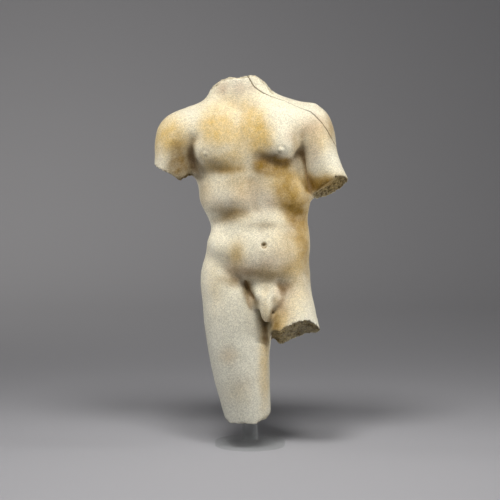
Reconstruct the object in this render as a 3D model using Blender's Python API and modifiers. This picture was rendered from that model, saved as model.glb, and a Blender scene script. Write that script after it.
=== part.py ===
"""Weathered marble torso of a standing nude, broken at the neck, arms and thighs, held up on a clear post.

Lengths are metres, +Z is up and the figure faces -Y. The origin is the middle of the foot's underside.
The figure is modelled as a sculptor builds up clay: level sections give its columns, rounded masses of
flesh and bone are blended onto them, furrows are pressed in, and the broken ends are cut away last.
"""

import math

import bmesh
import bpy
import numpy as np
from mathutils import Matrix, Vector, noise

# The figure's height, from the broken knee to the broken neck. Its forms are in hundredths of it.
FIGURE_HEIGHT = 0.400
SHARE = FIGURE_HEIGHT / 100

# The clear post and its foot.
POST_DIAMETER = 0.018
POST_BEVEL = 0.0008
GAP_UNDER_FIGURE = 0.018
SOCKET_DEPTH = 0.024
SOCKET_CLEARANCE = 0.0004
FOOT_DIAMETER = 0.080
FOOT_THICKNESS = 0.006
FOOT_EDGE = 0.0012
SEAT_GAP = 0.0003
ROUND_SIDES = 48

# How finely the clay is worked, in hundredths of the height, and the finished figure's triangles.
SKIN_CELL = 0.55
FIGURE_TRIANGLES = 7400

# Where the figure stands over the foot's middle, in hundredths of its height, so that its weight is over it.
LEG_TO_FOOT = Vector((0.0, 0.25, 0.0))


def figure_base():
    """The height of the lowest point of the broken knee."""
    return FOOT_THICKNESS + GAP_UNDER_FIGURE


# Level sections of the body: height, left, right, front and back, in hundredths of the figure's height.
# Left is the viewer's left, which is the figure's own right side.
TRUNK = [
    (102.0, -10.2, 5.2, -5.4, 6.8),
    (97.0, -10.6, 5.4, -5.6, 7.4),
    (95.2, -11.3, 6.2, -5.9, 8.0),
    (93.6, -12.1, 8.6, -6.1, 8.6),
    (92.2, -13.4, 12.6, -6.3, 9.2),
    (90.4, -16.8, 16.8, -6.8, 9.6),
    (87.0, -18.2, 17.4, -8.4, 10.0),
    (82.7, -17.0, 16.6, -9.7, 10.2),
    (78.4, -15.8, 15.9, -10.3, 10.1),
    (72.7, -15.4, 15.9, -9.9, 9.6),
    (68.1, -14.8, 16.0, -9.7, 8.8),
    (64.7, -14.2, 16.3, -9.4, 8.1),
    (61.3, -12.6, 16.6, -9.1, 7.5),
    (57.9, -11.3, 16.2, -9.1, 7.1),
    (54.4, -10.6, 16.0, -9.4, 7.3),
    (51.0, -11.4, 16.4, -9.6, 8.0),
    (47.6, -12.2, 16.5, -9.2, 9.0),
    (44.1, -12.2, 15.8, -8.4, 9.8),
    (40.7, -11.0, 14.6, -7.0, 10.0),
    (37.3, -7.6, 12.0, -6.4, 9.4),
    (34.5, -3.0, 8.6, -4.6, 7.6),
]
STANDING_THIGH = [
    (50.0, -10.0, 0.0, -4.0, 7.0),
    (44.0, -13.0, 1.6, -7.2, 10.0),
    (40.7, -13.4, 2.4, -8.7, 11.2),
    (37.3, -13.4, 3.0, -9.6, 11.6),
    (33.9, -13.4, 3.6, -10.0, 11.4),
    (30.4, -13.1, 4.4, -10.0, 10.8),
    (25.3, -12.3, 5.3, -9.6, 9.8),
    (18.4, -11.1, 5.6, -8.6, 8.6),
    (11.6, -9.6, 5.7, -7.5, 7.5),
    (6.4, -8.1, 5.9, -6.9, 6.7),
    (1.3, -6.9, 6.0, -6.6, 6.1),
    (-4.0, -6.4, 6.0, -6.6, 6.0),
]
ADVANCED_THIGH = [
    (48.0, 7.0, 14.5, -5.0, 6.5),
    (44.0, 6.4, 16.2, -7.2, 8.4),
    (40.7, 6.6, 16.7, -9.2, 8.8),
    (37.3, 6.8, 17.6, -11.2, 8.0),
    (33.9, 6.1, 18.4, -13.0, 6.8),
    (30.4, 5.2, 19.2, -14.6, 5.8),
    (27.6, 5.0, 19.9, -15.8, 5.0),
    (24.0, 5.6, 20.6, -17.2, 4.0),
    (19.0, 7.0, 21.4, -18.6, 2.6),
]
RIGHT_ARM = [
    (90.0, -16.6, -11.0, -1.0, 5.0),
    (88.4, -21.2, -11.0, -3.6, 6.8),
    (85.6, -24.8, -12.0, -5.6, 8.0),
    (81.6, -26.1, -13.6, -6.6, 8.2),
    (77.0, -26.7, -14.8, -6.6, 7.8),
    (73.4, -27.3, -15.2, -6.2, 7.2),
    (71.4, -27.7, -15.8, -5.8, 6.8),
    (69.6, -28.0, -18.4, -5.6, 6.6),
    (66.0, -28.6, -20.0, -5.4, 6.4),
]
LEFT_ARM = [
    (91.2, 13.4, 18.4, -1.6, 4.6),
    (89.6, 12.4, 20.4, -4.0, 6.6),
    (87.2, 12.6, 21.9, -6.0, 8.0),
    (83.6, 13.4, 23.1, -7.4, 8.2),
    (79.6, 14.6, 24.1, -8.2, 7.6),
    (75.6, 15.6, 25.4, -8.2, 6.8),
    (71.0, 16.4, 27.4, -7.8, 6.0),
    (67.6, 16.9, 29.2, -7.4, 6.2),
    (65.2, 18.0, 30.2, -7.2, 6.4),
    (61.5, 19.4, 31.4, -7.0, 6.4),
]
COLUMNS = [
    (TRUNK, 2.35, 0.0),
    (STANDING_THIGH, 2.15, 2.6),
    (ADVANCED_THIGH, 2.15, 2.6),
    (RIGHT_ARM, 2.2, 2.4),
    (LEFT_ARM, 2.2, 2.4),
]

# Masses of flesh and bone: centre, radii, lean in degrees seen from the front, and how softly each blends.
MASSES = {
    "right_breast": ((-8.9, -6.1, 79.2), (7.5, 5.1, 6.0), -6, 2.5),
    "right_breast_upper": ((-8.8, -5.5, 83.8), (8.6, 4.5, 6.8), 20, 3.4),
    "left_breast": ((8.0, -6.9, 80.3), (5.8, 5.1, 5.0), 6, 2.0),
    "left_breast_upper": ((6.8, -6.0, 84.4), (8.4, 4.6, 6.8), -20, 3.4),
    "right_trapezius": ((-8.8, 3.8, 88.8), (7.4, 4.2, 3.2), -22, 3.2),
    "left_trapezius": ((7.6, 3.8, 90.2), (8.2, 4.2, 2.8), 12, 3.2),
    "right_shoulder_front": ((-16.4, -1.2, 83.6), (6.0, 5.8, 5.4), 20, 3.2),
    "left_shoulder_front": ((14.2, -2.0, 84.6), (5.2, 5.8, 5.4), -20, 3.2),
    "right_deltoid": ((-20.2, 0.8, 81.8), (5.6, 6.8, 7.4), 16, 3.2),
    "left_deltoid": ((17.6, 0.4, 83.4), (5.4, 7.2, 7.4), -14, 3.2),
    "right_ribs": ((-5.6, -3.1, 65.2), (7.8, 6.4, 6.4), 22, 3.2),
    "left_ribs": ((9.6, -2.9, 65.8), (6.8, 6.1, 6.2), -18, 3.2),
    "upper_belly": ((4.2, -4.6, 58.4), (7.6, 5.6, 4.6), 0, 2.2),
    "belly": ((4.4, -4.4, 49.4), (11.2, 8.2, 9.4), 0, 2.8),
    "right_flank": ((-7.4, -3.0, 51.2), (4.6, 6.2, 4.8), -14, 2.8),
    "left_flank": ((12.0, -1.2, 53.0), (4.2, 6.0, 5.2), 10, 3.2),
    "right_hip": ((-8.6, -1.4, 43.0), (4.4, 7.2, 7.2), 14, 3.2),
    "left_hip": ((12.0, -2.0, 42.4), (4.0, 6.6, 6.4), -6, 3.2),
    "right_buttock": ((-4.4, 5.6, 40.6), (7.0, 6.4, 8.2), 6, 2.2),
    "left_buttock": ((7.4, 4.9, 39.0), (6.8, 6.0, 8.0), -4, 2.2),
    "right_shoulder_blade": ((-9.4, 5.2, 81.6), (6.0, 5.4, 8.4), -14, 3.4),
    "left_shoulder_blade": ((8.6, 5.2, 82.8), (6.0, 5.4, 8.2), 14, 3.4),
    "right_back_wing": ((-9.4, 2.6, 71.6), (5.4, 6.2, 9.6), 8, 3.6),
    "left_back_wing": ((10.6, 2.6, 72.2), (5.4, 6.2, 9.6), -4, 3.6),
    "right_loin": ((-2.0, 3.8, 58.0), (3.8, 4.2, 15.0), 4, 3.0),
    "left_loin": ((5.8, 3.8, 58.4), (3.8, 4.2, 15.0), 2, 3.0),
    "thigh_front": ((-4.2, -3.4, 22.0), (6.2, 6.6, 25.0), -8, 3.2),
    "pubis": ((4.5, -5.6, 39.4), (5.0, 4.4, 2.6), 0, 1.8),
    "groin_left_half": ((2.9, -8.6, 37.0), (2.4, 3.0, 3.0), -10, 0.8),
    "groin_right_half": ((6.6, -8.6, 37.2), (2.4, 3.0, 3.0), 10, 0.8),
    "groin_middle": ((4.5, -10.8, 34.4), (1.6, 1.7, 4.2), 0, 0.8),
}

# Furrows: points (x, height), half width, depth, and -1 for the front or 1 for the back.
FURROWS = {
    "breastbone": ([(-1.8, 90.0), (-1.6, 82.0), (-0.6, 75.0)], 2.4, 0.3, -1),
    "middle_line": ([(-0.6, 75.0), (0.8, 66.0), (3.0, 58.0), (4.0, 54.0)], 1.8, 0.35, -1),
    "under_right_breast": ([(-14.6, 77.4), (-12.4, 74.6), (-8.2, 73.2), (-3.4, 74.2)], 1.6, 0.32, -1),
    "under_left_breast": ([(2.4, 76.4), (6.0, 75.0), (9.6, 75.2), (12.6, 77.4)], 1.6, 0.8, -1),
    "rib_arch_right": ([(-1.6, 61.8), (-5.4, 60.2), (-9.6, 59.2)], 2.0, 0.55, -1),
    "rib_arch_left": ([(10.0, 61.6), (12.8, 60.6), (16.0, 59.8)], 2.0, 0.65, -1),
    "belly_crease": ([(0.4, 56.4), (4.2, 57.2), (8.2, 56.6)], 1.3, 0.25, -1),
    "hip_crease": ([(-12.2, 49.6), (-8.6, 46.0), (-4.6, 43.0), (-1.4, 41.0)], 2.2, 0.6, -1),
    "groin_crease_right": ([(-1.6, 41.0), (-1.0, 39.2), (-0.4, 37.4), (0.6, 35.4)], 1.2, 1.3, -1),
    "groin_crease_left": ([(14.6, 43.0), (11.6, 41.0), (9.6, 38.8)], 1.6, 0.4, -1),
    "right_armpit": ([(-15.2, 81.6), (-15.8, 77.0), (-16.0, 72.4)], 1.7, 0.9, -1),
    "left_armpit": ([(14.8, 83.0), (15.6, 76.0), (16.6, 68.0)], 1.5, 0.6, -1),
    "spine": ([(-1.6, 92.0), (-1.8, 82.0), (-0.6, 72.0), (1.2, 62.0), (2.2, 52.0), (2.0, 46.0)], 1.9, 0.6, 1),
    "cleft": ([(2.0, 45.0), (1.4, 41.0), (1.2, 36.0), (1.6, 32.0)], 1.3, 1.5, 1),
    "buttock_fold_right": ([(-0.6, 32.6), (-4.6, 31.8), (-8.6, 32.8)], 1.5, 0.5, 1),
    "buttock_fold_left": ([(3.6, 30.8), (7.6, 30.2), (11.6, 31.4)], 1.5, 0.45, 1),
}

# The navel is a drilled pit: centre and half sizes.
NAVEL = ((3.9, -11.6, 52.4), (0.75, 2.4, 0.85))

# Broken ends: the line of the break from the figure's right to its left as (x, height), how it rises toward
# the back, the depth it is level at, half its depth front to back, how rough it is, a noise offset, and how
# far the lost stone ran on, up or, where negative, down.
BREAKS = {
    "neck": (
        [(-12.6, 95.4), (-10.6, 96.9), (-9.1, 97.9), (-7.4, 98.6), (-5.4, 98.9), (-2.9, 99.1), (-0.9, 99.5),
         (0.9, 99.6), (2.3, 99.2), (3.7, 98.4), (4.6, 97.6), (5.5, 96.0), (6.3, 95.3), (9.0, 95.2)],
        0.03, 1.0, 12.0, 0.45, 3.0, 9.0,
    ),
    "right_arm": (
        [(-33.0, 76.8), (-27.2, 74.1), (-24.9, 73.2), (-22.2, 72.0), (-19.5, 69.9), (-17.6, 71.0), (-16.2, 71.4)],
        0.1, 0.0, 13.0, 0.5, 17.0, -9.0,
    ),
    "left_arm": (
        [(18.0, 64.8), (19.4, 65.9), (21.8, 67.6), (24.4, 69.0), (26.4, 70.0), (27.6, 70.5), (34.0, 71.8)],
        -0.36, -1.5, 13.0, 0.6, 23.0, -9.0,
    ),
    "advanced_thigh": (
        [(5.8, 26.7), (7.2, 26.0), (8.4, 25.4), (10.0, 26.2), (13.5, 28.1), (16.5, 28.9), (18.6, 28.4),
         (24.0, 27.6)],
        -0.37, -5.9, 16.0, 0.7, 29.0, -9.0,
    ),
    "knee": (
        [(-12.0, 8.0), (-8.2, 3.8), (-7.6, 2.4), (-7.1, 1.6), (-6.2, 1.2), (-5.1, 1.2), (-3.2, 1.5), (-0.7, 1.5),
         (1.3, 0.8), (2.5, 1.7), (5.3, 2.2), (5.9, 3.2), (6.3, 4.6), (9.0, 8.0)],
        0.0, 0.0, 12.0, 0.4, 31.0, -9.0,
    ),
}
BREAK_SQUARES = 14


def spline(at, knots, values):
    """Values read along a smooth curve through the knots, held level past both ends."""
    slopes = np.gradient(values, knots)
    at = np.clip(at, knots[0], knots[-1])
    i = np.clip(np.searchsorted(knots, at) - 1, 0, len(knots) - 2)
    step = knots[i + 1] - knots[i]
    t = (at - knots[i]) / step
    return (
        values[i] * (1 + 2 * t) * (1 - t) ** 2
        + values[i + 1] * t * t * (3 - 2 * t)
        + step * (slopes[i] * t * (1 - t) ** 2 - slopes[i + 1] * t * t * (1 - t))
    )


def section_at(height, stations):
    """Middle x, middle y, half width and half depth of a column at the given heights."""
    table = np.array(sorted(stations))
    left, right, front, back = (spline(height, table[:, 0], table[:, i]) for i in range(1, 5))
    return (left + right) / 2, (front + back) / 2, (right - left) / 2, (back - front) / 2


def column_field(points, stations, squareness):
    """How far each point lies outside a column, measured level from its middle."""
    x, y, half_width, half_depth = section_at(points[:, 2], stations)
    across = points[:, 0] - x
    along = points[:, 1] - y
    reach = (np.abs(across / half_width) ** squareness + np.abs(along / half_depth) ** squareness) ** (
        1 / squareness
    )
    level = np.hypot(across, along) * (1 - 1 / np.maximum(reach, 0.05))
    heights = [s[0] for s in stations]
    past_end = np.maximum(points[:, 2] - max(heights), min(heights) - points[:, 2])
    return np.maximum(level, past_end)


def mass_field(points, centre, radii, lean):
    """How far each point lies outside an ellipsoid that leans in the front view."""
    local = (points - np.array(centre)) @ np.array(Matrix.Rotation(math.radians(lean), 3, "Y"))
    scaled = np.linalg.norm(local / np.array(radii), axis=1)
    steep = np.linalg.norm(local / np.array(radii) ** 2, axis=1)
    return scaled * (scaled - 1) / np.maximum(steep, 1e-6)


def blend(a, b, softness):
    """The union of two fields with a fillet between them."""
    share = np.clip(0.5 + 0.5 * (b - a) / softness, 0, 1)
    return b + (a - b) * share - softness * share * (1 - share)


def distance_to_line(points, line):
    """Distance in the front view from each point to a line through (x, height) points."""
    flat = points[:, [0, 2]]
    nearest = np.full(len(points), np.inf)
    for start, end in zip(np.array(line[:-1]), np.array(line[1:])):
        run = end - start
        t = np.clip((flat - start) @ run / (run @ run), 0, 1)
        nearest = np.minimum(nearest, np.linalg.norm(flat - start - t[:, None] * run, axis=1))
    return nearest


def body_field(points):
    """The whole figure, before it was broken: negative inside, positive outside."""
    field = None
    for stations, squareness, softness in COLUMNS:
        column = column_field(points, stations, squareness)
        field = column if field is None else blend(field, column, softness)
    for centre, radii, lean, softness in MASSES.values():
        field = blend(field, mass_field(points, centre, radii, lean), softness)
    for line, half_width, depth, side in FURROWS.values():
        facing = np.clip(side * points[:, 1] / 4, 0, 1)
        field = field + depth * facing * np.exp(-((distance_to_line(points, line) / half_width) ** 2))
    return field


def to_surface(points, steps):
    """Moves points along the field's slope until they lie on the figure's surface."""
    reach = 0.05
    for _ in range(steps):
        here = body_field(points)
        slope = np.stack(
            [(body_field(points + reach * axis) - here) / reach for axis in np.eye(3)], axis=1
        )
        steep = np.maximum((slope**2).sum(1), 0.2)
        points = points - np.clip(here / steep, -1.0, 1.0)[:, None] * slope
    return points


def add_column(bm, stations, squareness):
    """A closed loft through a column's sections."""
    heights = np.linspace(min(s[0] for s in stations), max(s[0] for s in stations), 36)
    x, y, half_width, half_depth = section_at(heights, stations)
    rings = []
    for i, height in enumerate(heights):
        ring = bmesh.ops.create_circle(bm, radius=1, segments=32)["verts"]
        for v in ring:
            angle = math.atan2(v.co.y, v.co.x)
            across = math.copysign(abs(math.cos(angle)) ** (2 / squareness), math.cos(angle))
            along = math.copysign(abs(math.sin(angle)) ** (2 / squareness), math.sin(angle))
            v.co = (x[i] + half_width[i] * across, y[i] + half_depth[i] * along, height)
        rings.append([e for e in bm.edges if e.verts[0] in ring and e.verts[1] in ring])
    for lower, upper in zip(rings[:-1], rings[1:]):
        bmesh.ops.bridge_loops(bm, edges=lower + upper)
    bmesh.ops.holes_fill(bm, edges=rings[0] + rings[-1], sides=0)


def add_mass(bm, centre, radii, lean):
    turn = Matrix.Translation(centre) @ Matrix.Rotation(math.radians(lean), 4, "Y")
    bmesh.ops.create_icosphere(
        bm, subdivisions=3, radius=1, matrix=turn @ Matrix.Diagonal((*radii, 1))
    )


def evaluated_copy(obj):
    """The object's mesh with its modifiers applied."""
    graph = bpy.context.evaluated_depsgraph_get()
    return bpy.data.meshes.new_from_object(obj.evaluated_get(graph))


def apply_modifiers(obj):
    bpy.context.view_layer.update()
    finished = evaluated_copy(obj)
    obj.modifiers.clear()
    obj.data = finished


def soften(obj, rounds):
    bm = bmesh.new()
    bm.from_mesh(obj.data)
    for _ in range(rounds):
        bmesh.ops.smooth_vert(
            bm, verts=bm.verts[:], factor=0.5, use_axis_x=True, use_axis_y=True, use_axis_z=True
        )
    bm.to_mesh(obj.data)
    bm.free()


def work_surface(obj, cell, easing, steps):
    """Lays an even skin over the clay, eases its sharp creases and draws it onto the figure's surface."""
    skin = obj.modifiers.new("skin", "REMESH")
    skin.mode = "VOXEL"
    skin.voxel_size = cell
    apply_modifiers(obj)
    soften(obj, easing)
    points = np.empty(len(obj.data.vertices) * 3)
    obj.data.vertices.foreach_get("co", points)
    points = to_surface(points.reshape(-1, 3), steps)
    obj.data.vertices.foreach_set("co", points.ravel())
    soften(obj, 2)


def build_body(collection):
    """The figure in hundredths of its height, then scaled to its real size and stood over the foot."""
    bm = bmesh.new()
    for stations, squareness, _ in COLUMNS:
        add_column(bm, stations, squareness)
    for centre, radii, lean, _ in MASSES.values():
        add_mass(bm, centre, radii, lean)
    bmesh.ops.recalc_face_normals(bm, faces=bm.faces[:])
    mesh = bpy.data.meshes.new("torso")
    bm.to_mesh(mesh)
    bm.free()
    torso = bpy.data.objects.new("torso", mesh)
    collection.objects.link(torso)
    work_surface(torso, SKIN_CELL * 1.3, 8, 5)
    work_surface(torso, SKIN_CELL, 2, 3)
    reduce = torso.modifiers.new("reduce", "DECIMATE")
    faces = sum(len(p.vertices) - 2 for p in torso.data.polygons)
    reduce.ratio = FIGURE_TRIANGLES / faces
    reduce.use_collapse_triangulate = True
    apply_modifiers(torso)
    torso.data.transform(figure_to_world())
    return torso


def figure_to_world():
    """From hundredths of the figure's height to metres, standing over the foot."""
    return Matrix.Translation(LEG_TO_FOOT * SHARE + Vector((0, 0, figure_base()))) @ Matrix.Scale(SHARE, 4)


def new_object(name, bm, collection):
    bmesh.ops.recalc_face_normals(bm, faces=bm.faces[:])
    mesh = bpy.data.meshes.new(name)
    bm.to_mesh(mesh)
    bm.free()
    obj = bpy.data.objects.new(name, mesh)
    collection.objects.link(obj)
    return obj


def cut_away(obj, cutter):
    cutter.hide_render = True
    cutter.display_type = "WIRE"
    cut = obj.modifiers.new(cutter.name, "BOOLEAN")
    cut.operation = "DIFFERENCE"
    cut.solver = "EXACT"
    cut.object = cutter


def break_cutter(name, line, rise, level_at, half_depth, roughness, offset, reach, collection):
    """A block whose near face is broken stone. It takes away all that lies beyond the break."""
    across, heights = zip(*line)
    bm = bmesh.new()
    bmesh.ops.create_grid(bm, x_segments=BREAK_SQUARES, y_segments=BREAK_SQUARES, size=1)
    for v in bm.verts:
        x = across[0] + (across[-1] - across[0]) * (v.co.x + 1) / 2
        y = level_at + half_depth * v.co.y
        coarse = noise.noise(Vector((x / 4.2, y / 4.2, offset)))
        fine = noise.noise(Vector((x / 1.9, y / 1.9, offset + 50)))
        height = np.interp(x, across, heights) + rise * (y - level_at)
        v.co = (x, y, height + roughness * (coarse + 0.5 * fine))
    far = (max(heights) if reach > 0 else min(heights)) + reach
    for v in bmesh.ops.extrude_face_region(bm, geom=bm.faces[:])["geom"]:
        if isinstance(v, bmesh.types.BMVert):
            v.co.z = far
    cutter = new_object(name + "_break", bm, collection)
    cutter.data.transform(figure_to_world())
    return cutter


def break_ends(torso, cutters):
    for name, shape in BREAKS.items():
        cut_away(torso, break_cutter(name, *shape, cutters))
    bm = bmesh.new()
    centre, radii = NAVEL
    bmesh.ops.create_icosphere(
        bm, subdivisions=2, radius=1, matrix=Matrix.Translation(centre) @ Matrix.Diagonal((*radii, 1))
    )
    pit = new_object("navel_pit", bm, cutters)
    pit.data.transform(figure_to_world())
    cut_away(torso, pit)


def turned(name, profile, collection):
    """A turned solid about the upright axis, from (radius, height) points from its top to its bottom."""
    bm = bmesh.new()
    rings = []
    for radius, height in profile:
        ring = bmesh.ops.create_circle(
            bm, segments=ROUND_SIDES, radius=radius, matrix=Matrix.Translation((0, 0, height))
        )
        rings.append(ring["verts"])
    bmesh.ops.bridge_loops(bm, edges=bm.edges[:])
    bmesh.ops.contextual_create(bm, geom=rings[0])
    bmesh.ops.contextual_create(bm, geom=rings[-1])
    return new_object(name, bm, collection)


def build_stand(parts, cutters, torso):
    """A clear rod stands on a clear disc and goes up into a blind hole bored in the broken knee."""
    radius = POST_DIAMETER / 2
    bottom = FOOT_THICKNESS + SEAT_GAP
    hole_end = figure_base() + SOCKET_DEPTH
    post = turned(
        "post",
        [
            (radius - POST_BEVEL, hole_end - SEAT_GAP),
            (radius, hole_end - SEAT_GAP - POST_BEVEL),
            (radius, bottom),
        ],
        parts,
    )
    foot_radius = FOOT_DIAMETER / 2
    foot = turned(
        "foot",
        [
            (foot_radius - FOOT_EDGE, FOOT_THICKNESS),
            (foot_radius, FOOT_THICKNESS - FOOT_EDGE),
            (foot_radius, 0.0),
        ],
        parts,
    )
    bore = radius + SOCKET_CLEARANCE
    socket = turned("socket", [(bore, hole_end), (bore, bottom)], cutters)
    cut_away(torso, socket)
    return post, foot


def give_material(obj, name, colour, roughness, transmission=0.0):
    material = bpy.data.materials.new(name)
    material.use_nodes = True
    shader = material.node_tree.nodes["Principled BSDF"]
    shader.inputs["Base Color"].default_value = (*colour, 1.0)
    shader.inputs["Roughness"].default_value = roughness
    shader.inputs["Transmission Weight"].default_value = transmission
    obj.data.materials.append(material)


def main():
    for obj in list(bpy.data.objects):
        bpy.data.objects.remove(obj)
    parts = bpy.data.collections.new("marble_torso")
    cutters = bpy.data.collections.new("cutters")
    for collection in (parts, cutters):
        bpy.context.scene.collection.children.link(collection)
    torso = build_body(parts)
    break_ends(torso, cutters)
    post, foot = build_stand(parts, cutters, torso)
    give_material(torso, "coarse_white_marble", (0.72, 0.69, 0.62), 0.6)
    give_material(post, "clear_rod", (0.93, 0.97, 0.94), 0.05, 1.0)
    give_material(foot, "clear_disc", (0.93, 0.97, 0.94), 0.05, 1.0)


main()
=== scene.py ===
import math

import bmesh
import bpy
import numpy as np
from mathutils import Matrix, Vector, noise
from mathutils.bvhtree import BVHTree


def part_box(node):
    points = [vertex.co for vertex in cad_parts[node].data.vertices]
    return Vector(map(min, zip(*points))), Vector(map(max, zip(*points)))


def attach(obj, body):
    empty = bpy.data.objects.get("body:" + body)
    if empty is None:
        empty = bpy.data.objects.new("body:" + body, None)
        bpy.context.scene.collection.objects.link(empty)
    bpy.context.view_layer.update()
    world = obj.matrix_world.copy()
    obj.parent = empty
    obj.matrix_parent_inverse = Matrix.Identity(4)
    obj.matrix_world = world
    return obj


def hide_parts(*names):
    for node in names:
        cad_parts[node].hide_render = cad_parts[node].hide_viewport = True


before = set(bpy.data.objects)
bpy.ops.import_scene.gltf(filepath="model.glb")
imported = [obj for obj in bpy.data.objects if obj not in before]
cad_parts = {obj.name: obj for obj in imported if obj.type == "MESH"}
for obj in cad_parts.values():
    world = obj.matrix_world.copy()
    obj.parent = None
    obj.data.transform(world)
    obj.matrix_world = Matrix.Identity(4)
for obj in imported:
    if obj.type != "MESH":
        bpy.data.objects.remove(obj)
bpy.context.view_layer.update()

# The figure: a half-size nude cut from one block of coarse white island marble, broken at the neck, arms
# and thighs. The block is read from the solid, gets an even skin of points, and is then rubbed smooth
# between its broken ends, as the carver left it.
FIGURE_HEIGHT = 0.400
HUNDREDTH = FIGURE_HEIGHT / 100
MILLIMETRE = 0.001
KNEE = Vector((0.0, 0.001, 0.024))
SKIN_POINTS = 0.00184

# Broken ends, in hundredths of the height: the break's line across, its rise toward the back, the depth it is
# level at, how rough it is, and 1 where the stone above is gone or -1 where the stone below is.
BROKEN_ENDS = {
    "neck": ([(-12.6, 95.4), (-10.6, 96.9), (-9.1, 97.9), (-7.4, 98.6), (-5.4, 98.9), (-2.9, 99.1),
              (-0.9, 99.5), (0.9, 99.6), (2.3, 99.2), (3.7, 98.4), (4.6, 97.6), (5.5, 96.0), (6.3, 95.3)],
             0.03, 1.0, 0.45, 1),
    "right_arm": ([(-31.0, 76.0), (-27.2, 74.1), (-24.9, 73.2), (-22.2, 72.0), (-19.5, 69.9),
                   (-17.6, 71.0), (-16.2, 71.4)], 0.1, 0.0, 0.5, -1),
    "left_arm": ([(18.0, 64.8), (19.4, 65.9), (21.8, 67.6), (24.4, 69.0), (26.4, 70.0), (27.6, 70.5),
                  (34.0, 71.8)], -0.36, -1.5, 0.6, -1),
    "left_thigh": ([(5.8, 26.7), (7.2, 26.0), (8.4, 25.4), (10.0, 26.2), (13.5, 28.1), (16.5, 28.9),
                    (18.6, 28.4), (24.0, 27.6)], -0.37, -5.9, 0.7, -1),
    "knee": ([(-12.0, 8.0), (-8.2, 3.8), (-7.6, 2.4), (-7.1, 1.6), (-6.2, 1.2), (-5.1, 1.2), (-3.2, 1.5),
              (-0.7, 1.5), (1.3, 0.8), (2.5, 1.7), (5.3, 2.2), (5.9, 3.2), (6.3, 4.6), (9.0, 8.0)],
             0.0, 0.0, 0.4, -1),
}
# The skin comes down over the front of the left arm's break as far as this line: across, up.
LEFT_ARM_SKIN = [(15.0, 66.0), (18.3, 66.7), (22.9, 68.6), (23.7, 70.7), (24.5, 74.0)]


def shares(points):
    """Points in metres as hundredths of the figure's height from the middle of its knee."""
    return (points - np.array(KNEE)) / HUNDREDTH


def broken_share(points, normals):
    """1 on a broken end, 0 on the carved skin."""
    q = shares(points)
    broken = np.zeros(len(q))
    for line, rise, level_at, rough, side in BROKEN_ENDS.values():
        across, heights = np.array(line).T
        slope = np.gradient(heights, across)
        off = q[:, 2] - np.interp(q[:, 0], across, heights) - rise * (q[:, 1] - level_at)
        facing = np.stack(
            [-side * np.interp(q[:, 0], across, slope), np.full(len(q), -side * rise), np.full(len(q), side)],
            axis=1,
        )
        facing /= np.linalg.norm(facing, axis=1)[:, None]
        square_on = (normals * facing).sum(1)
        inside = (q[:, 0] > across[0]) & (q[:, 0] < across[-1]) & (np.abs(off) < 1.5 * rough + 0.3)
        broken = np.maximum(broken, inside * np.clip((square_on - 0.35) / 0.25, 0, 1))
    across, heights = np.array(LEFT_ARM_SKIN).T
    over = q[:, 2] - np.interp(q[:, 0], across, heights)
    on_left_arm = (q[:, 0] > across[0]) & (q[:, 2] > 60) & (q[:, 2] < 80)
    return broken * np.where(on_left_arm, np.clip(0.5 - over / 0.8, 0, 1), 1)


def read_points(mesh):
    points = np.empty(len(mesh.vertices) * 3)
    mesh.vertices.foreach_get("co", points)
    return points.reshape(-1, 3)


def read_normals(mesh):
    normals = np.empty(len(mesh.vertices) * 3)
    mesh.vertices.foreach_get("normal", normals)
    return normals.reshape(-1, 3)


def neighbours(mesh):
    """Both ends of every edge, and how many edges meet at each point."""
    ends = np.empty(len(mesh.edges) * 2, dtype=int)
    mesh.edges.foreach_get("vertices", ends)
    a, b = ends.reshape(-1, 2).T
    return a, b, np.bincount(ends, minlength=len(mesh.vertices))


def spread(values, rounds, a, b, count):
    """Averages a value along the skin."""
    for _ in range(rounds):
        total = np.bincount(a, values[b], len(count)) + np.bincount(b, values[a], len(count))
        values = 0.5 * values + 0.5 * total / count
    return values


def placed(name, data):
    """A new object in the scene."""
    obj = bpy.data.objects.new(name, data)
    bpy.context.scene.collection.objects.link(obj)
    return obj


def drawn(name, bm):
    """A shape as a new object in the scene."""
    mesh = bpy.data.meshes.new(name)
    bm.to_mesh(mesh)
    bm.free()
    return placed(name, mesh)


def finished_mesh(obj):
    """The object's mesh with its modifiers applied."""
    bpy.context.view_layer.update()
    return bpy.data.meshes.new_from_object(obj.evaluated_get(bpy.context.evaluated_depsgraph_get()))


bm = bmesh.new()
bm.from_mesh(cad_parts["torso"].data)
bmesh.ops.remove_doubles(bm, verts=bm.verts[:], dist=1e-6)
torso = drawn("marble_torso", bm)
skin = torso.modifiers.new("even_skin", "REMESH")
skin.mode = "VOXEL"
skin.voxel_size = SKIN_POINTS
torso.data = finished_mesh(torso)
torso.modifiers.clear()

broken = broken_share(read_points(torso.data), read_normals(torso.data))
near_break = np.clip(2.5 * spread(broken, 4, *neighbours(torso.data)), 0, 1)
group = torso.vertex_groups.new(name="carved")
for i, weight in enumerate(1 - near_break):
    group.add([i], float(weight), "REPLACE")
rub = torso.modifiers.new("rub", "SMOOTH")
rub.factor = 0.5
rub.iterations = 9
rub.vertex_group = "carved"
torso.data = finished_mesh(torso)
torso.modifiers.clear()
torso.vertex_groups.clear()

# Carving laid over the skin. Places are in the front view as the eye sees it: hundredths of the height across
# and up. A place is found on the stone by looking straight at it.
TILT = math.radians(5)
LOOK = Vector((0, math.cos(TILT), -math.sin(TILT)))
UP = Vector((0, math.sin(TILT), math.cos(TILT)))
AWAY = 2.6
EYE_LEVEL = 49.86
EYE = KNEE + UP * (EYE_LEVEL * HUNDREDTH) - LOOK * AWAY


def stone_tree(mesh):
    bm = bmesh.new()
    bm.from_mesh(mesh)
    tree = BVHTree.FromBMesh(bm)
    bm.free()
    return tree


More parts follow.
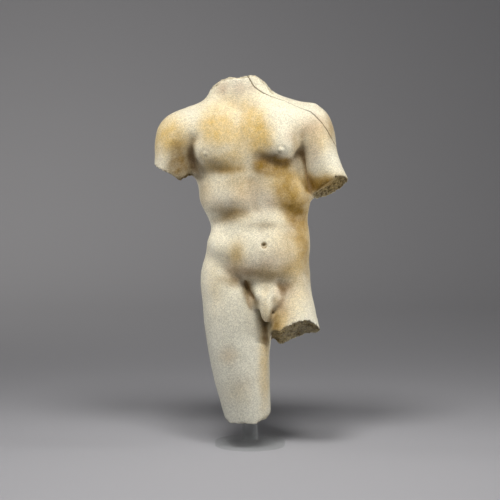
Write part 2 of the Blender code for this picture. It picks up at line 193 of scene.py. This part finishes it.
def on_front(tree, across, up):
    """The place on the stone that the eye sees so far across and up."""
    target = KNEE + Vector((across * HUNDREDTH, 0, 0)) + UP * (up * HUNDREDTH)
    return tree.ray_cast(EYE, (target - EYE).normalized())[0]


def nearest_on_path(points, path):
    """The place on a path of straight runs that lies nearest to each point."""
    nearest, least = np.zeros_like(points), np.full(len(points), np.inf)
    for start, end in zip(path[:-1], path[1:]):
        start, run = np.array(start), np.array(end) - np.array(start)
        t = np.clip((points - start) @ run / (run @ run), 0, 1)
        place = start + t[:, None] * run
        distance = np.linalg.norm(points - place, axis=1)
        closer = distance < least
        nearest[closer], least[closer] = place[closer], distance[closer]
    return nearest


def distance_to_path(points, path):
    return np.linalg.norm(points - nearest_on_path(points, path), axis=1)


# The neck broke off once with a piece of the shoulder and was set back: its join shows as a thin crack.
# It goes straight through the stone from front to back, and wanders a little, the same way each time.
noise.seed_set(1)
CRACK_WIDTH = 0.0006
CRACK_WANDER, WANDER_SIZE = 0.1, 0.005
CRACK = [(-1.0, 100.5), (0.0, 98.4), (1.3, 96.4), (2.5, 95.6), (3.7, 94.8), (5.6, 94.0), (7.7, 93.2),
         (10.2, 92.3), (12.8, 91.2), (15.6, 90.0), (17.4, 89.4), (19.0, 87.9), (20.2, 86.6), (21.1, 85.5),
         (22.2, 83.9), (22.9, 82.6), (24.6, 79.5)]


def view_shares(points):
    """Places as the eye sees them from the front: hundredths of the height across and up."""
    q = points - np.array(KNEE)
    closer = AWAY / (AWAY + q @ np.array(LOOK)) / HUNDREDTH
    up = EYE_LEVEL + (q @ np.array(UP) - EYE_LEVEL * HUNDREDTH) * closer
    return np.stack([q[:, 0] * closer, up], axis=1)


def crack_distance(points, normals):
    """Metres along the skin from the join."""
    places = view_shares(points)
    places += CRACK_WANDER * np.array([noise.noise_vector(Vector(p) / WANDER_SIZE)[:2] for p in points])
    off = places - nearest_on_path(places, CRACK)
    far = np.linalg.norm(off, axis=1)
    way = off / np.maximum(far, 1e-9)[:, None]
    facing = normals[:, 0] * way[:, 0] + (normals @ np.array(UP)) * way[:, 1]
    return far * HUNDREDTH / np.sqrt(np.clip(1 - facing**2, 0.12, 1))


NIPPLES = [(-12.8, 77.4), (8.8, 78.5)]
tree = stone_tree(torso.data)
nipple_places = [on_front(tree, x, u) for x, u in NIPPLES]
navel_place = (on_front(tree, 2.8, 51.1) + on_front(tree, 5.2, 51.1)) / 2
navel_lip = on_front(tree, 4.0, 49.5)
DRILLED_GROOVE = [(-1.3, 40.8), (-0.9, 39.3), (-0.2, 37.8), (0.6, 36.2)]
groove_path = [on_front(tree, x, u) for x, u in DRILLED_GROOVE]

# More points where the detail is fine: so many metres round each small form, and twice along the join.
NEAR_CRACK, AT_CRACK = 0.0024, 0.0013
NEAR_GROOVE, NEAR_NIPPLE, NEAR_NAVEL = 0.004, 0.009, 0.007
bm = bmesh.new()
bm.from_mesh(torso.data)
middles = np.array([f.calc_center_median() for f in bm.faces])
normals = np.array([f.normal for f in bm.faces])
near = crack_distance(middles, normals) < NEAR_CRACK
near |= distance_to_path(middles, groove_path) < NEAR_GROOVE
for place in nipple_places:
    near |= np.linalg.norm(middles - np.array(place), axis=1) < NEAR_NIPPLE
near |= np.linalg.norm(middles - np.array(navel_place), axis=1) < NEAR_NAVEL
near |= broken_share(middles, normals) > 0.4
edges = list(dict.fromkeys(e for f, n in zip(bm.faces, near) if n for e in f.edges))
bmesh.ops.subdivide_edges(bm, edges=edges, cuts=1, use_grid_fill=True, smooth=0.6)
middles = np.array([f.calc_center_median() for f in bm.faces])
normals = np.array([f.normal for f in bm.faces])
near = crack_distance(middles, normals) < AT_CRACK
edges = list(dict.fromkeys(e for f, n in zip(bm.faces, near) if n for e in f.edges))
bmesh.ops.subdivide_edges(bm, edges=edges, cuts=1, use_grid_fill=True)
bmesh.ops.triangulate(bm, faces=bm.faces[:])
bm.normal_update()
bm.to_mesh(torso.data)
bm.free()

points = read_points(torso.data)
normals = read_normals(torso.data)
broken = broken_share(points, normals)


def shifted(seed):
    return Vector((seed * 7.3, seed * 3.1, seed * 5.7))


def fractal(points, size, octaves, seed):
    """Cloudy noise from -1 to 1."""
    offset = shifted(seed)
    return np.array([noise.fractal(Vector(p) / size + offset, 0.9, 2.0, octaves) for p in points])


def crystals(points, size, seed):
    """Broken crystal faces: 0 at a crystal's middle and more toward its edge."""
    offset = shifted(seed)
    return np.array([noise.voronoi(Vector(p) / size + offset)[0][0] for p in points])


def bell(distance, width):
    return np.exp(-((distance / width) ** 2))


# Soft forms laid over the solid in the front view: middle across and up, half width and half height, and how
# far each stands out in millimetres.
SOFT_FORMS = [
    (-4.0, 65.0, 2.4, 1.8, 1.3), (-8.0, 62.4, 2.6, 1.6, -0.6), (-9.6, 52.0, 2.0, 2.2, 0.6),
    (-1.4, 90.6, 2.0, 2.4, 1.3), (-10.2, 47.2, 2.6, 3.0, 1.3), (0.8, 69.4, 3.4, 1.4, -0.6),
    (-15.3, 77.0, 1.3, 3.8, 2.0), (-17.2, 77.0, 1.1, 3.8, -1.2), (13.2, 80.8, 1.3, 3.0, -1.3),
    (15.8, 79.4, 1.3, 3.4, 1.6), (2.2, 32.4, 1.0, 1.6, 1.8), (7.2, 33.0, 1.0, 1.5, 1.8),
    (0.0, 35.9, 1.2, 1.8, -1.6), (2.0, 35.4, 1.0, 1.2, -1.1), (7.0, 35.8, 1.0, 1.2, -0.8),
    (2.8, 40.0, 1.8, 1.1, 0.9), (6.4, 40.0, 1.8, 1.1, 0.9), (17.2, 73.6, 1.6, 4.4, 3.5),
    (4.2, 79.0, 1.3, 3.4, -0.9), (9.0, 79.6, 3.0, 3.0, 0.8),
]
seen = view_shares(points)


def patch_distance(across, up, half_width, half_height):
    """The square of each point's distance from a patch's middle, 1 at the patch's edge."""
    return ((seen[:, 0] - across) / half_width) ** 2 + ((seen[:, 1] - up) / half_height) ** 2


facing_front = np.clip(0.5 - normals @ np.array(LOOK) / 0.5, 0, 1)
depth = np.zeros(len(points))
for *patch, height in SOFT_FORMS:
    depth += MILLIMETRE * height * np.exp(-patch_distance(*patch)) * facing_front
# The right flank draws in under the arm.
FLANK_DEPTH, FLANK_HEIGHT, FLANK_REACH = 0.0036, 67.2, 4.4
flank = (seen[:, 0] > -17.5) & (seen[:, 0] < -8)
sideways = np.clip(-normals[:, 0], 0, 1) ** 2
depth -= FLANK_DEPTH * flank * bell(seen[:, 1] - FLANK_HEIGHT, FLANK_REACH) * sideways
# Weathering rolls the skin a little and eats shallow pits.
ROLL, PITS = 0.0002, 0.00005
depth += ROLL * fractal(points, 0.018, 3, 1) * (1 - broken)
depth += PITS * fractal(points, 0.005, 3, 2) * (1 - broken)
# Broken stone: sugary crystals over steps and clefts, eaten in from the break's face and less at the knee.
STEP_DEPTH, CRYSTAL_DEPTH, CLEFT_DEPTH = 0.0018, 0.001, 0.0034
clefts = broken * np.clip(1 - np.abs(fractal(points, 0.013, 3, 7)) / 0.16, 0, 1) ** 1.5
steps = np.clip(0.5 + 0.9 * fractal(points, 0.009, 4, 3), 0, 1.2)
eaten = broken * np.clip(0.3 + shares(points)[:, 2] / 30, 0.3, 1)
depth -= eaten * (STEP_DEPTH * steps + CRYSTAL_DEPTH * crystals(points, 0.0035, 4) + CLEFT_DEPTH * clefts)
# Nipples are small worn buttons in a faint ring.
NIPPLE_HEIGHTS, NIPPLE_RADIUS, RING_RADIUS, RING_WIDTH = (0.0007, 0.0013), 0.0022, 0.0042, 0.0013
for place, height in zip(nipple_places, NIPPLE_HEIGHTS):
    r = np.linalg.norm(points - np.array(place), axis=1)
    depth += height * bell(r, NIPPLE_RADIUS) - 0.35 * height * bell(r - RING_RADIUS, RING_WIDTH)
# The navel's drill hole with a lip under it.
NAVEL_RADIUS, NAVEL_DEPTH, LIP_RADIUS, LIP_HEIGHT = 0.0025, 0.0022, 0.0030, 0.0007
navel = np.exp(-((np.linalg.norm(points - np.array(navel_place), axis=1) / NAVEL_RADIUS) ** 4))
depth -= NAVEL_DEPTH * navel
depth += LIP_HEIGHT * bell(np.linalg.norm(points - np.array(navel_lip), axis=1), LIP_RADIUS)
# The running drill's groove between the thigh and the groin.
GROOVE_DEPTH, GROOVE_WIDTH = 0.0024, 0.0017
depth -= GROOVE_DEPTH * bell(distance_to_path(points, groove_path), GROOVE_WIDTH)
# The join.
CRACK_DEPTH = 0.001
crack = bell(crack_distance(points, normals), CRACK_WIDTH)
depth -= CRACK_DEPTH * crack
points += normals * depth[:, None]
torso.data.vertices.foreach_set("co", points.ravel())
torso.data.update()
torso.data.shade_smooth()

# Masks that the marble's colours read: broken stone, the join, darkening in hollows that is partly dirt and
# partly painted shade, each kind of stain, each with some painted shade laid in, and the warmth toward the
# top.
normals = read_normals(torso.data)
linked = neighbours(torso.data)


def hollowness(rounds):
    """How far the skin lies below its surroundings, in metres."""
    smooth = np.stack([spread(points[:, i], rounds, *linked) for i in range(3)], axis=1)
    return ((smooth - points) * normals).sum(1)


# Dark in the creases and valleys of the skin, in the breaks' clefts and in the navel's hole: partly dirt,
# partly painted shade where shade falls.
CREASE_DEPTH, VALLEY_DEPTH = 0.0006, 0.004
creases = np.clip(hollowness(19) / CREASE_DEPTH - 0.25, 0, 1)
valleys = np.clip(hollowness(100) / VALLEY_DEPTH - 0.2, 0, 1)
hollow_dirt_and_painted_shade = creases * 0.6 + valleys * 0.4
pale_ends = np.interp(shares(points)[:, 2], (5, 15, 85, 90), (0.5, 1, 1, 0.4))
hollow_dirt_and_painted_shade = spread(np.clip(hollow_dirt_and_painted_shade + 0.65 * clefts * pale_ends + navel, 0, 1), 2, *linked)
soiled = spread(broken, 1, *linked) * pale_ends

front = np.clip(0.5 - normals @ np.array(LOOK) / 0.6, 0, 1)
back = 1 - front
blotch = fractal(points, 0.022, 4, 5)


def patches_of_stain_and_painted_shade(patches, facing):
    """Soft patches in the front view: middle across and up, half width and half height, strength."""
    total = np.zeros(len(points))
    for *patch, strength in patches:
        total += strength * np.exp(-patch_distance(*patch) * (1 - 0.3 * blotch))
    return (1 - np.exp(-1.3 * total)) * facing


# Ochre stain; its thin bands under the right breast and under the ribs are painted shade.
ochre_stain_and_painted_shade = 0.9 * patches_of_stain_and_painted_shade([
    (-23.4, 83.4, 4.6, 4.2, 1.1), (-20.6, 80.6, 4.6, 2.6, 0.6), (-26.4, 79.6, 2.4, 4.0, 0.35),
    (-9.4, 84.6, 4.4, 5.0, 1.7), (0.8, 85.0, 3.8, 5.2, 1.9), (3.8, 81.0, 2.6, 3.4, 1.3),
    (-4.4, 82.0, 2.4, 3.0, 0.3), (-8.0, 75.4, 5.0, 2.6, 0.6), (-3.6, 77.0, 2.8, 2.6, 0.5),
    (-1.6, 68.4, 4.6, 4.6, 0.5), (-12.6, 67.0, 2.0, 4.6, 0.2), (-8.0, 73.4, 4.8, 1.4, 0.9),
    (8.6, 71.0, 4.0, 3.0, 1.0), (10.8, 66.0, 3.6, 4.2, 1.15), (12.8, 61.6, 3.0, 3.6, 1.0),
    (14.6, 53.0, 1.9, 6.4, 1.0), (14.6, 47.0, 1.6, 3.6, 0.6), (14.4, 78.0, 1.8, 5.0, 0.35),
    (19.4, 81.6, 3.0, 4.0, 0.55), (18.4, 84.8, 4.0, 2.4, 0.3), (21.0, 68.8, 4.6, 2.2, 1.5),
    (17.0, 69.6, 1.8, 2.6, 0.5), (-3.8, 48.0, 2.2, 4.2, 0.7), (-4.0, 60.4, 3.4, 2.2, 0.5),
    (4.4, 43.6, 7.4, 1.8, 0.5), (12.4, 44.4, 3.0, 2.6, 0.4), (8.4, 28.4, 2.0, 4.4, 1.2),
    (10.6, 31.8, 3.2, 3.8, 0.5), (13.6, 37.0, 3.0, 3.0, 0.3), (13.6, 66.0, 3.0, 5.6, 0.5),
    (4.2, 20.0, 1.5, 14.0, 0.8), (-10.4, 40.0, 2.4, 7.0, 0.2), (-5.0, 93.0, 5.0, 3.0, 0.3),
    (-6.0, 19.6, 2.4, 2.4, 0.2), (-3.4, 9.0, 3.6, 3.0, 0.14), (11.0, 50.0, 4.4, 8.0, 0.3),
], front) + 0.9 * patches_of_stain_and_painted_shade([
    (-8, 84, 7, 5, 0.5), (7, 78, 6, 7, 0.45), (4, 58, 8, 7, 0.5), (-6, 40, 5, 5, 0.4), (9, 40, 5, 6, 0.45),
    (-4, 18, 6, 7, 0.4), (18, 80, 5, 5, 0.5), (-20, 80, 4, 5, 0.5),
], back)
# Umber stain, and painted shade under the breasts, under the ribs, in the groin and between the thighs.
umber_stain_and_painted_shade = patches_of_stain_and_painted_shade([
    (6.2, 75.0, 3.6, 2.0, 2.2), (9.8, 75.0, 2.4, 1.2, 0.8), (3.0, 76.4, 2.2, 1.6, 0.6),
    (6.2, 73.2, 4.2, 2.2, 1.4), (10.4, 67.4, 3.0, 4.6, 0.85), (13.5, 60.4, 2.2, 3.4, 1.8),
    (10.8, 62.8, 2.4, 1.4, 0.45), (14.2, 56.6, 1.2, 3.4, 0.5), (16.4, 68.0, 1.6, 3.0, 0.6),
    (14.6, 51.0, 1.2, 4.6, 0.35), (-5.6, 60.4, 2.4, 1.5, 0.9), (-8.4, 61.4, 3.0, 1.0, 0.4),
    (-6.8, 58.6, 2.6, 1.4, 0.5), (16.2, 50.0, 1.4, 9.0, 0.45), (16.6, 64.0, 1.4, 3.0, 0.4),
    (-3.8, 47.8, 1.4, 3.8, 0.35), (-20.6, 75.4, 2.0, 4.0, 1.9), (-21.4, 72.6, 2.6, 1.6, 0.7),
    (19.6, 68.6, 3.2, 1.6, 1.0), (23.0, 68.6, 4.4, 1.8, 1.1), (6.8, 42.4, 2.8, 1.1, 0.6),
    (3.6, 57.0, 3.8, 0.7, 0.3), (-0.8, 39.2, 1.0, 2.0, 1.6), (0.6, 36.0, 1.0, 1.6, 0.5),
    (1.9, 34.6, 1.0, 1.3, 0.7), (7.0, 35.2, 1.0, 1.3, 0.5), (7.2, 28.6, 1.6, 2.6, 0.7),
    (12.0, 40.4, 3.0, 1.8, 0.45), (-6.0, 41.4, 3.0, 1.1, 0.4), (7.4, 27.4, 1.2, 3.4, 0.8),
    (-7.4, 72.8, 5.0, 1.3, 0.6), (-3.4, 73.0, 2.4, 1.0, 0.35), (2.0, 43.4, 5.0, 1.2, 0.4),
    (24.0, 68.2, 4.0, 1.7, 0.8), (23.8, 84.6, 1.6, 5.0, 0.7), (-14.4, 66.6, 1.8, 5.0, 0.4),
    (-5.0, 69.6, 9.0, 3.0, 0.16), (4.6, 73.6, 3.0, 1.6, 1.2), (13.6, 62.0, 3.6, 7.0, 0.3),
    (11.6, 54.6, 3.0, 4.6, 0.25), (17.2, 44.0, 2.4, 6.0, 0.5), (0.6, 14.0, 2.6, 9.0, 0.07),
    (13.2, 81.4, 1.2, 3.0, 0.5), (-4.8, 40.2, 2.0, 1.2, 0.5), (12.0, 46.0, 2.4, 6.0, 0.2),
], front) + patches_of_stain_and_painted_shade([(2, 45, 3, 5, 0.5), (-1, 70, 2, 12, 0.3)], back)
# Painted shade, with some brown stain, on the inner face of the right arm by the armpit.
armpit_stain_and_painted_shade = patches_of_stain_and_painted_shade([(-19.0, 74.2, 2.4, 4.6, 1.3), (-20.0, 72.0, 2.8, 2.8, 0.9)], np.clip(2 * front, 0, 0.85))
umber_stain_and_painted_shade = np.maximum(umber_stain_and_painted_shade, armpit_stain_and_painted_shade)
# Rose stain, and painted shade on the outer side of the left breast and on top of the left shoulder.
rose_stain_and_painted_shade = patches_of_stain_and_painted_shade([
    (-7.8, 96.0, 1.7, 1.8, 0.8), (-3.2, 96.2, 1.9, 2.0, 0.6), (0.4, 96.4, 1.4, 1.4, 0.35),
    (17.8, 84.8, 3.6, 2.4, 0.5), (20.0, 87.0, 5.0, 3.0, 0.3), (11.4, 82.4, 2.2, 2.4, 0.35),
    (18.4, 78.0, 1.6, 4.0, 0.4), (13.2, 76.4, 1.4, 3.6, 0.3), (-1.4, 43.4, 3.0, 1.8, 0.5),
    (10.0, 38.4, 2.6, 1.6, 0.6), (9.2, 34.0, 1.6, 3.4, 0.5), (-4.6, 44.6, 3.2, 2.0, 0.35),
    (-0.4, 65.6, 5.0, 4.6, 0.45), (6.0, 63.6, 2.8, 2.4, 0.4), (4.2, 45.4, 5.0, 1.8, 0.3),
    (12.0, 56.0, 2.0, 4.0, 0.2), (7.6, 47.6, 6.0, 3.0, 0.25), (-9.0, 64.0, 4.0, 3.0, 0.2),
    (-6.2, 19.8, 2.0, 2.6, 0.22), (-2.0, 12.0, 3.0, 2.6, 0.12),
], front)
warm = np.clip((seen[:, 1] - 22) / 22, 0, 1) * np.clip(1 + 0.5 * blotch, 0, 1)

masks = {"broken": soiled, "crack": crack, "hollow_dirt_and_painted_shade": hollow_dirt_and_painted_shade, "ochre_stain_and_painted_shade": ochre_stain_and_painted_shade, "umber_stain_and_painted_shade": umber_stain_and_painted_shade, "rose_stain_and_painted_shade": rose_stain_and_painted_shade,
         "warm": warm}
for name, values in masks.items():
    torso.data.attributes.new(name, "FLOAT", "POINT").data.foreach_set("value", values.astype(np.float32))

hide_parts("torso")
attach(torso, "root")

marble = bpy.data.materials.new("weathered_island_marble")
marble.use_nodes = True
nodes, links = marble.node_tree.nodes, marble.node_tree.links
shader = nodes["Principled BSDF"]
place = nodes.new("ShaderNodeTexCoord").outputs["Object"]


def clouds(nodes, links, place, scale, detail, roughness=0.55):
    texture = nodes.new("ShaderNodeTexNoise")
    texture.inputs["Scale"].default_value = scale
    texture.inputs["Detail"].default_value = detail
    texture.inputs["Roughness"].default_value = roughness
    links.new(place, texture.inputs["Vector"])
    return texture.outputs["Fac"]


def from_to(nodes, links, value, low, high, to_low=0.0, to_high=1.0):
    limits = nodes.new("ShaderNodeMapRange")
    for socket, number in zip(("From Min", "From Max", "To Min", "To Max"), (low, high, to_low, to_high)):
        limits.inputs[socket].default_value = number
    links.new(value, limits.inputs["Value"])
    return limits.outputs["Result"]


def worked_out(nodes, links, kind, first, second):
    step = nodes.new("ShaderNodeMath")
    step.operation = kind
    for socket, value in zip(step.inputs, (first, second)):
        if isinstance(value, (int, float)):
            socket.default_value = value
        else:
            links.new(value, socket)
    return step.outputs[0]


def wash(nodes, links, under, share, colour):
    """Lays a colour over another where share is 1."""
    mix = nodes.new("ShaderNodeMix")
    mix.data_type = "RGBA"
    mix.clamp_factor = True
    links.new(share, mix.inputs["Factor"])
    for socket, value in ((mix.inputs["A"], under), (mix.inputs["B"], colour)):
        if isinstance(value, tuple):
            socket.default_value = (*value, 1)
        else:
            links.new(value, socket)
    return mix.outputs["Result"]


def mask(nodes, name):
    attribute = nodes.new("ShaderNodeAttribute")
    attribute.attribute_name = name
    return attribute.outputs["Fac"]


broad = clouds(nodes, links, place, 28, 4)
patchy = clouds(nodes, links, place, 90, 5, 0.65)
speckle = clouds(nodes, links, place, 1800, 3, 0.6)
grains = nodes.new("ShaderNodeTexVoronoi")
grains.inputs["Scale"].default_value = 1150
links.new(place, grains.inputs["Vector"])
grain_tone = nodes.new("ShaderNodeSeparateColor")
links.new(grains.outputs["Color"], grain_tone.inputs["Color"])

# White stone, warmer toward the top, under three stains and dark in hollows, all partly painted shade, the
# raw breaks and the dark join.
WHITE, WHITE_SHADE, WARM_WHITE = (0.78, 0.765, 0.65), (0.70, 0.685, 0.575), (0.785, 0.735, 0.575)
STAINS_AND_PAINTED_SHADE = {"ochre_stain_and_painted_shade": (0.62, 0.41, 0.10), "rose_stain_and_painted_shade": (0.46, 0.34, 0.24), "umber_stain_and_painted_shade": (0.24, 0.135, 0.014),
          "hollow_dirt_and_painted_shade": (0.24, 0.15, 0.06)}
RAW_DARK, RAW_PALE, JOIN_DIRT = (0.12, 0.08, 0.022), (0.33, 0.255, 0.105), (0.13, 0.09, 0.05)
colour = wash(nodes, links, WHITE, from_to(nodes, links, broad, 0.35, 0.65), WHITE_SHADE)
warmth = worked_out(nodes, links, "MULTIPLY", mask(nodes, "warm"), 0.9)
colour = wash(nodes, links, colour, warmth, WARM_WHITE)
ragged = from_to(nodes, links, patchy, 0.3, 0.7, 0.75, 1.2)
for name, tone in STAINS_AND_PAINTED_SHADE.items():
    colour = wash(nodes, links, colour, worked_out(nodes, links, "MULTIPLY", mask(nodes, name), ragged), tone)
lumpy = from_to(nodes, links, clouds(nodes, links, place, 230, 5, 0.7), 0.42, 0.6)
raw = wash(nodes, links, RAW_DARK, lumpy, RAW_PALE)
colour = wash(nodes, links, colour, worked_out(nodes, links, "MULTIPLY", mask(nodes, "broken"), 0.85), raw)
colour = wash(nodes, links, colour, mask(nodes, "crack"), JOIN_DIRT)
# Each crystal is a little lighter or darker, glossier or duller, and higher or lower than the next.
grain_shade = from_to(nodes, links, grain_tone.outputs["Red"], 0, 1, 0.76, 1.2)
speckle_shade = from_to(nodes, links, speckle, 0.3, 0.7, 0.93, 1.07)
shade = worked_out(nodes, links, "MULTIPLY", grain_shade, speckle_shade)
tint = nodes.new("ShaderNodeCombineColor")
for channel in ("Red", "Green", "Blue"):
    links.new(shade, tint.inputs[channel])
full = nodes.new("ShaderNodeMix")
full.data_type = "RGBA"
full.blend_type = "MULTIPLY"
full.inputs["Factor"].default_value = 1
links.new(colour, full.inputs["A"])
links.new(tint.outputs["Color"], full.inputs["B"])
links.new(full.outputs["Result"], shader.inputs["Base Color"])
grain_gloss = from_to(nodes, links, grain_tone.outputs["Green"], 0.8, 1.0, 0.62, 0.32)
links.new(grain_gloss, shader.inputs["Roughness"])
shader.inputs["Specular IOR Level"].default_value = 0.3
shader.inputs["Subsurface Weight"].default_value = 0.1
shader.inputs["Subsurface Radius"].default_value = (1.0, 0.8, 0.6)
shader.inputs["Subsurface Scale"].default_value = 0.003
bump = nodes.new("ShaderNodeBump")
bump.inputs["Strength"].default_value = 0.5
bump.inputs["Distance"].default_value = 0.0002
grain_height = worked_out(nodes, links, "MULTIPLY", grain_tone.outputs["Blue"], 0.6)
relief = worked_out(nodes, links, "ADD", speckle, grain_height)
links.new(relief, bump.inputs["Height"])
links.new(bump.outputs["Normal"], shader.inputs["Normal"])
torso.data.materials.append(marble)

# The post: a rod of cast clear acrylic, sawn to length, its ends eased and polished. It is pushed up into a
# hole drilled in the broken knee and stands on the foot.
STEPS_AROUND = 96
RIM = 0.0006
rod_foot, rod_top = (corner.z for corner in map(Vector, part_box("post")))
rod_radius = (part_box("post")[1][0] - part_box("post")[0][0]) / 2


def spun(name, outline):
    """A solid turned about the upright axis from an outline of (radius, height) points, edges rounded."""
    bm = bmesh.new()
    verts = [bm.verts.new((radius, 0, height)) for radius, height in outline]
    edges = [bm.edges.new(pair) for pair in zip(verts[:-1], verts[1:])]
    bmesh.ops.spin(bm, geom=verts + edges, cent=(0, 0, 0), axis=(0, 0, 1), angle=math.tau,
                   steps=STEPS_AROUND, use_merge=True)
    bmesh.ops.remove_doubles(bm, verts=bm.verts[:], dist=1e-6)
    bmesh.ops.recalc_face_normals(bm, faces=bm.faces[:])
    obj = drawn(name, bm)
    obj.data.shade_smooth()
    return obj


def rounded(radius, low, high, edge):
    """Half the outline of a disc or rod with rounded rims."""
    turn = [(edge * math.sin(t), edge * math.cos(t)) for t in (0, 0.26, 0.52, 0.79, 1.05, 1.31, math.pi / 2)]
    top = [(radius - edge + out, high - edge + up) for out, up in turn]
    bottom = [(radius - edge + out, low + edge - up) for out, up in reversed(turn)]
    return [(0, high)] + top + bottom + [(0, low)]


rod = spun("clear_rod", rounded(rod_radius, rod_foot, rod_top, RIM))
acrylic = bpy.data.materials.new("polished_clear_acrylic")
acrylic.use_nodes = True
nodes, links = acrylic.node_tree.nodes, acrylic.node_tree.links
clear = nodes["Principled BSDF"]
clear.inputs["Base Color"].default_value = (0.62, 0.72, 0.64, 1)
clear.inputs["Transmission Weight"].default_value = 1
clear.inputs["IOR"].default_value = 1.49
clear.inputs["Alpha"].default_value = 0.18
place = nodes.new("ShaderNodeTexCoord").outputs["Object"]
links.new(from_to(nodes, links, clouds(nodes, links, place, 140, 4), 0.45, 0.75, 0.02, 0.12),
          clear.inputs["Roughness"])
rod.data.materials.append(acrylic)
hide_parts("post")
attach(rod, "root")

# The foot: a small disc turned from the same clear acrylic, with its rims eased and polished. The rod is
# cemented to the middle of it.
DISC_RIM = 0.001
disc_low, disc_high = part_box("foot")
disc = spun("clear_disc", rounded(disc_high[0], disc_low[2], disc_high[2], DISC_RIM))
disc.data.materials.append(acrylic)
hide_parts("foot")
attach(disc, "root")

# The stand that the photograph was taken on: a sheet of pale grey paper, flat under the foot, that sweeps up
# far behind. Its floor lies a hair under the disc.
FLOOR = -0.0002
SWEEP_FRONT, SWEEP_BEND, SWEEP_RADIUS, SWEEP_TOP = -2.2, 1.4, 1.2, 3.2
SWEEP_HALF_WIDTH = 3
bm = bmesh.new()
verts = [bm.verts.new((-SWEEP_HALF_WIDTH, y, FLOOR)) for y in (SWEEP_FRONT, SWEEP_BEND)]
for i in range(1, 13):
    turn = math.pi / 2 * i / 12
    back_by, up_by = SWEEP_RADIUS * math.sin(turn), SWEEP_RADIUS * (1 - math.cos(turn))
    verts.append(bm.verts.new((-SWEEP_HALF_WIDTH, SWEEP_BEND + back_by, FLOOR + up_by)))
verts.append(bm.verts.new((-SWEEP_HALF_WIDTH, SWEEP_BEND + SWEEP_RADIUS, SWEEP_TOP)))
edges = [bm.edges.new(pair) for pair in zip(verts[:-1], verts[1:])]
drawn_out = bmesh.ops.extrude_edge_only(bm, edges=edges)["geom"]
far_edge = [v for v in drawn_out if isinstance(v, bmesh.types.BMVert)]
bmesh.ops.translate(bm, verts=far_edge, vec=(2 * SWEEP_HALF_WIDTH, 0, 0))
bmesh.ops.recalc_face_normals(bm, faces=bm.faces[:])
sweep = drawn("sweep", bm)
sweep.data.shade_smooth()
paper = bpy.data.materials.new("pale_grey_paper")
paper.use_nodes = True
matt = paper.node_tree.nodes["Principled BSDF"]
matt.inputs["Base Color"].default_value = (0.45, 0.455, 0.495, 1)
matt.inputs["Roughness"].default_value = 0.9
sweep.data.materials.append(paper)

# Soft boxes: two keys in front, a weak one at each side, one overhead, and one for the paper behind.
LIT_HEIGHT = 0.29


def lamp(name, turn, lift, away, size, power, colour, cone=180):
    """A soft box aimed at the figure, so many degrees round from the camera and up from level."""
    light = bpy.data.lights.new(name, "AREA")
    light.shape = "DISK"
    light.size = size
    light.energy = power
    light.color = colour
    light.spread = math.radians(cone)
    turn, lift = math.radians(turn), math.radians(lift)
    aim = Vector((0, 0, LIT_HEIGHT))
    toward = Vector((math.sin(turn) * math.cos(lift), -math.cos(turn) * math.cos(lift), math.sin(lift)))
    obj = placed(name, light)
    obj.location = aim + toward * away
    obj.rotation_euler = (-toward).to_track_quat("-Z", "Y").to_euler()
    return obj


lamp("key_left", -17, 54, 1.15, 0.36, 9.0, (1.0, 0.97, 0.92))
lamp("key_right", 16, 51, 1.15, 0.36, 6.9, (1.0, 0.97, 0.92))
lamp("side_left", -98, 2, 1.25, 0.4, 0.30, (1.0, 0.98, 0.96), 36)
lamp("side_right", 84, 2, 1.25, 0.4, 0.48, (1.0, 0.98, 0.94), 36)
lamp("top", 0, 80, 1.25, 0.4, 0.5, (1.0, 0.98, 0.94))
paper_wash = lamp("paper_wash", 0, 0, 1.25, 0.8, 3.0, (1.0, 0.96, 0.88), 80)
paper_wash.location = (-1.2, 0.8, 1.6)
to_paper = Vector((-0.3, 1.95, 0.1)) - paper_wash.location
paper_wash.rotation_euler = to_paper.to_track_quat("-Z", "Y").to_euler()
world = bpy.data.worlds.new("studio")
world.use_nodes = True
air = world.node_tree.nodes["Background"]
air.inputs["Color"].default_value = (0.8, 0.82, 0.85, 1)
air.inputs["Strength"].default_value = 0.03
bpy.context.scene.world = world
bpy.context.scene.view_settings.view_transform = "Standard"

# The camera: a long lens that looks a little down from the eye's place. The figure fills as much of the
# frame as in the photograph.
PHOTO_WIDTH, FIGURE_IN_PHOTO = 500, 350
SENSOR = 36
seen_width = FIGURE_HEIGHT * PHOTO_WIDTH / FIGURE_IN_PHOTO
lens = bpy.data.cameras.new("camera")
lens.sensor_width = SENSOR
lens.lens = SENSOR * AWAY / seen_width
camera = placed("camera", lens)
camera.location = EYE
camera.rotation_euler = LOOK.to_track_quat("-Z", "Y").to_euler()
bpy.context.scene.camera = camera
